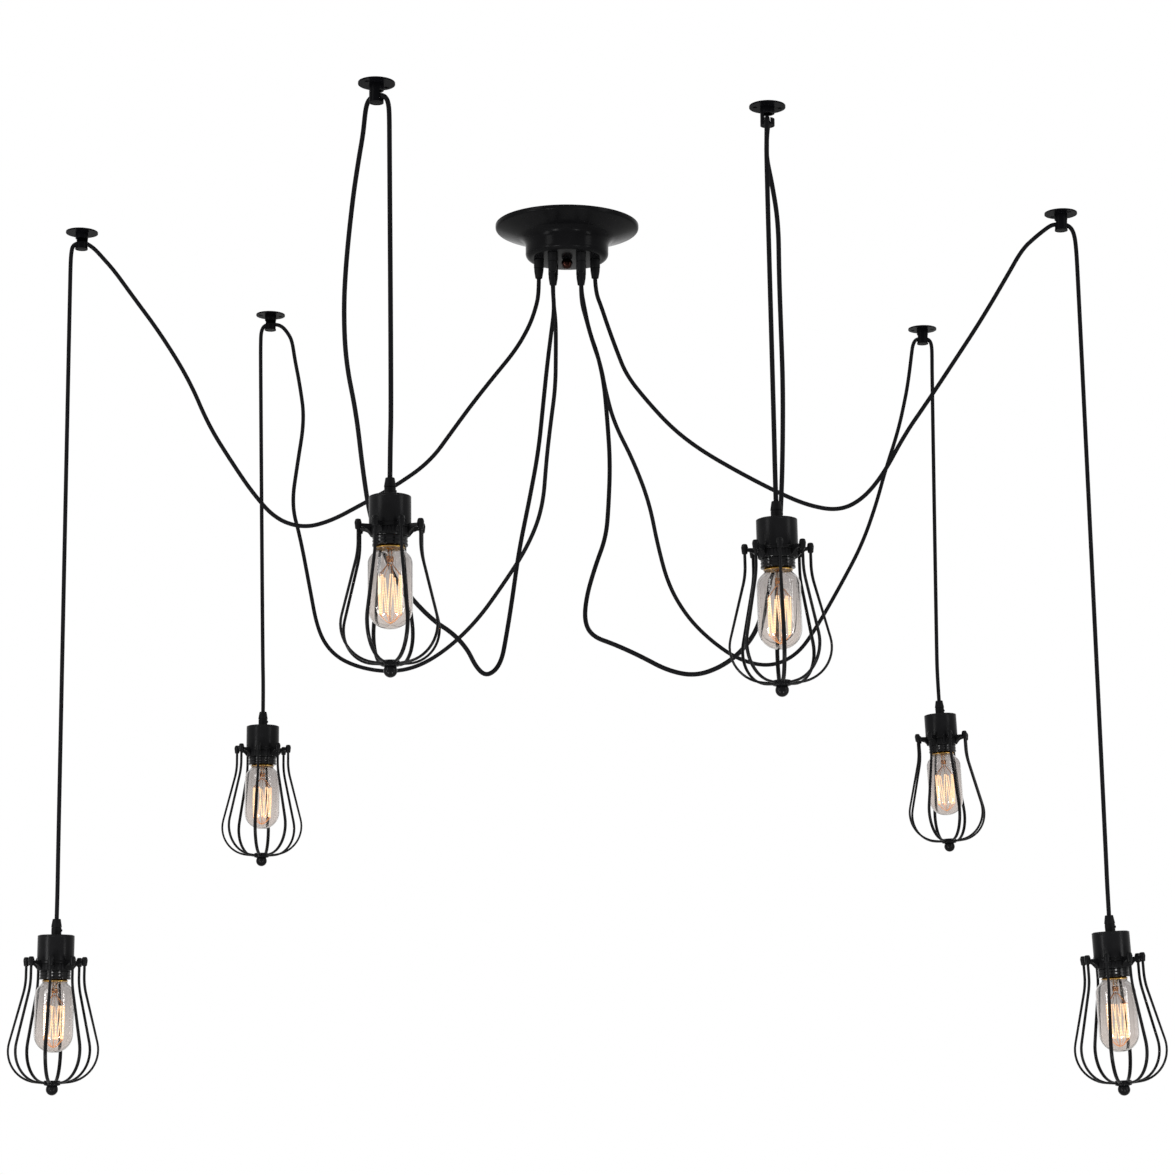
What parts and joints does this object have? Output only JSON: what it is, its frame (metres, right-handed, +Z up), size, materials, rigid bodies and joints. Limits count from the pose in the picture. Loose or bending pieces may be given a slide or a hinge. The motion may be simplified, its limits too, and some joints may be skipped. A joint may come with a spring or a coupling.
{
  "type": "cluster pendant light",
  "caption": "Swag cluster pendant: round ceiling canopy, long fabric cords draped over ceiling hooks, each ending in a wire-cage lamp with a clear tube bulb.",
  "frame": {"origin": "centre of the canopy on the ceiling plane", "axes": "+Z up into the ceiling, +X to the right of the picture, +Y away from the viewer"},
  "size_m": [1.3063, 1.0709, 1.0195],
  "materials": {
    "canopy_black": "satin black powder coat on spun steel",
    "zinc_steel": "zinc plated",
    "bronze_nut": "dark bronze plating",
    "terminal_plastic": "matt off-white moulding",
    "grip_plastic": "moulded black, fine grain",
    "hook_black": "satin black powder coat",
    "cord_fabric": "braided black textile",
    "holder_plastic": "black phenolic moulding",
    "cup_black": "satin black powder coat",
    "ring_plastic": "moulded black",
    "cage_black": "satin black powder coat on welded steel wire",
    "cap_brass": "rolled brass",
    "bulb_glass": "clear glass",
    "filament_metal": "oxidised wire on a glass stem"
  },
  "bodies": {
    "ceiling_set": {"canopy_shell": "canopy_black", "mounting_bar": "zinc_steel", "canopy_ball_nut": "bronze_nut", "terminal_block": "terminal_plastic", "canopy_cord_grips": "grip_plastic", "ceiling_hooks": "hook_black", "swag_cord_1": "cord_fabric", "swag_cord_2": "cord_fabric", "swag_cord_3": "cord_fabric", "swag_cord_4": "cord_fabric", "swag_cord_5": "cord_fabric", "swag_cord_6": "cord_fabric"},
    "drop_1": {"drop_cord_1": "cord_fabric"},
    "lamp_1": {"lampholder_1": "holder_plastic", "holder_cup_1": "cup_black", "shade_ring_1": "ring_plastic", "cage_1": "cage_black"},
    "bulb_1": {"bulb_cap_1": "cap_brass", "bulb_glass_1": "bulb_glass", "filament_1": "filament_metal"},
    "drop_2": {"drop_cord_2": "cord_fabric"},
    "lamp_2": {"lampholder_2": "holder_plastic", "holder_cup_2": "cup_black", "shade_ring_2": "ring_plastic", "cage_2": "cage_black"},
    "bulb_2": {"bulb_cap_2": "cap_brass", "bulb_glass_2": "bulb_glass", "filament_2": "filament_metal"},
    "drop_3": {"drop_cord_3": "cord_fabric"},
    "lamp_3": {"lampholder_3": "holder_plastic", "holder_cup_3": "cup_black", "shade_ring_3": "ring_plastic", "cage_3": "cage_black"},
    "bulb_3": {"bulb_cap_3": "cap_brass", "bulb_glass_3": "bulb_glass", "filament_3": "filament_metal"},
    "drop_4": {"drop_cord_4": "cord_fabric"},
    "lamp_4": {"lampholder_4": "holder_plastic", "holder_cup_4": "cup_black", "shade_ring_4": "ring_plastic", "cage_4": "cage_black"},
    "bulb_4": {"bulb_cap_4": "cap_brass", "bulb_glass_4": "bulb_glass", "filament_4": "filament_metal"},
    "drop_5": {"drop_cord_5": "cord_fabric"},
    "lamp_5": {"lampholder_5": "holder_plastic", "holder_cup_5": "cup_black", "shade_ring_5": "ring_plastic", "cage_5": "cage_black"},
    "bulb_5": {"bulb_cap_5": "cap_brass", "bulb_glass_5": "bulb_glass", "filament_5": "filament_metal"},
    "drop_6": {"drop_cord_6": "cord_fabric"},
    "lamp_6": {"lampholder_6": "holder_plastic", "holder_cup_6": "cup_black", "shade_ring_6": "ring_plastic", "cage_6": "cage_black"},
    "bulb_6": {"bulb_cap_6": "cap_brass", "bulb_glass_6": "bulb_glass", "filament_6": "filament_metal"}
  },
  "joints": [
    {"name": "pendant_1_swing", "type": "hinge", "parent": "ceiling_set", "child": "drop_1", "pos_m": [-0.582, 0.024, -0.0138], "axis": [-1, 0, 0], "range_deg": [-15, 15]},
    {"name": "lamp_1_twist", "type": "hinge", "parent": "drop_1", "child": "lamp_1", "pos_m": [-0.58606, 0.024, -0.8196], "axis": [-0.0035, 0, 1], "range_deg": [-180, 180]},
    {"name": "bulb_1_unscrew", "type": "hinge", "parent": "lamp_1", "child": "bulb_1", "pos_m": [-0.58606, 0.024, -0.8196], "axis": [-0.0035, 0, 1], "range_deg": [0, 1080]},
    {"name": "pendant_2_swing", "type": "hinge", "parent": "ceiling_set", "child": "drop_2", "pos_m": [-0.1905, -0.493, -0.0138], "axis": [0.8192, -0.5736, 0], "range_deg": [-12, 12]},
    {"name": "lamp_2_twist", "type": "hinge", "parent": "drop_2", "child": "lamp_2", "pos_m": [-0.17136, -0.501, -0.4131], "axis": [-0.014, 0, 0.9999], "range_deg": [-180, 180]},
    {"name": "bulb_2_unscrew", "type": "hinge", "parent": "lamp_2", "child": "bulb_2", "pos_m": [-0.17136, -0.501, -0.4131], "axis": [-0.014, 0, 0.9999], "range_deg": [0, 1080]},
    {"name": "pendant_3_swing", "type": "hinge", "parent": "ceiling_set", "child": "drop_3", "pos_m": [-0.397, 0.397, -0.0138], "axis": [-1, 0, 0], "range_deg": [-15, 15]},
    {"name": "lamp_3_twist", "type": "hinge", "parent": "drop_3", "child": "lamp_3", "pos_m": [-0.39666, 0.397, -0.5321], "axis": [-0.0087, 0, 1], "range_deg": [-180, 180]},
    {"name": "bulb_3_unscrew", "type": "hinge", "parent": "lamp_3", "child": "bulb_3", "pos_m": [-0.39666, 0.397, -0.5321], "axis": [-0.0087, 0, 1], "range_deg": [0, 1080]},
    {"name": "pendant_4_swing", "type": "hinge", "parent": "ceiling_set", "child": "drop_4", "pos_m": [0.212, -0.4225, -0.0138], "axis": [-0.1219, -0.9925, 0], "range_deg": [-15, 15]},
    {"name": "lamp_4_twist", "type": "hinge", "parent": "drop_4", "child": "lamp_4", "pos_m": [0.21541, -0.4352, -0.4234], "axis": [-0.0209, 0, 0.9998], "range_deg": [-180, 180]},
    {"name": "bulb_4_unscrew", "type": "hinge", "parent": "lamp_4", "child": "bulb_4", "pos_m": [0.21541, -0.4352, -0.4234], "axis": [-0.0209, 0, 0.9998], "range_deg": [0, 1080]},
    {"name": "pendant_5_swing", "type": "hinge", "parent": "ceiling_set", "child": "drop_5", "pos_m": [0.5795, -0.052, -0.0138], "axis": [1, 0, 0], "range_deg": [-15, 15]},
    {"name": "lamp_5_twist", "type": "hinge", "parent": "drop_5", "child": "lamp_5", "pos_m": [0.61027, -0.052, -0.81953], "axis": [-0.0558, 0, 0.9984], "range_deg": [-180, 180]},
    {"name": "bulb_5_unscrew", "type": "hinge", "parent": "lamp_5", "child": "bulb_5", "pos_m": [0.61027, -0.052, -0.81953], "axis": [-0.0558, 0, 0.9984], "range_deg": [0, 1080]},
    {"name": "pendant_6_swing", "type": "hinge", "parent": "ceiling_set", "child": "drop_6", "pos_m": [0.478, 0.4685, -0.0138], "axis": [1, 0, 0], "range_deg": [-15, 15]},
    {"name": "lamp_6_twist", "type": "hinge", "parent": "drop_6", "child": "lamp_6", "pos_m": [0.48987, 0.4685, -0.50812], "axis": [-0.0506, 0, 0.9987], "range_deg": [-180, 180]},
    {"name": "bulb_6_unscrew", "type": "hinge", "parent": "lamp_6", "child": "bulb_6", "pos_m": [0.48987, 0.4685, -0.50812], "axis": [-0.0506, 0, 0.9987], "range_deg": [0, 1080]}
  ]
}
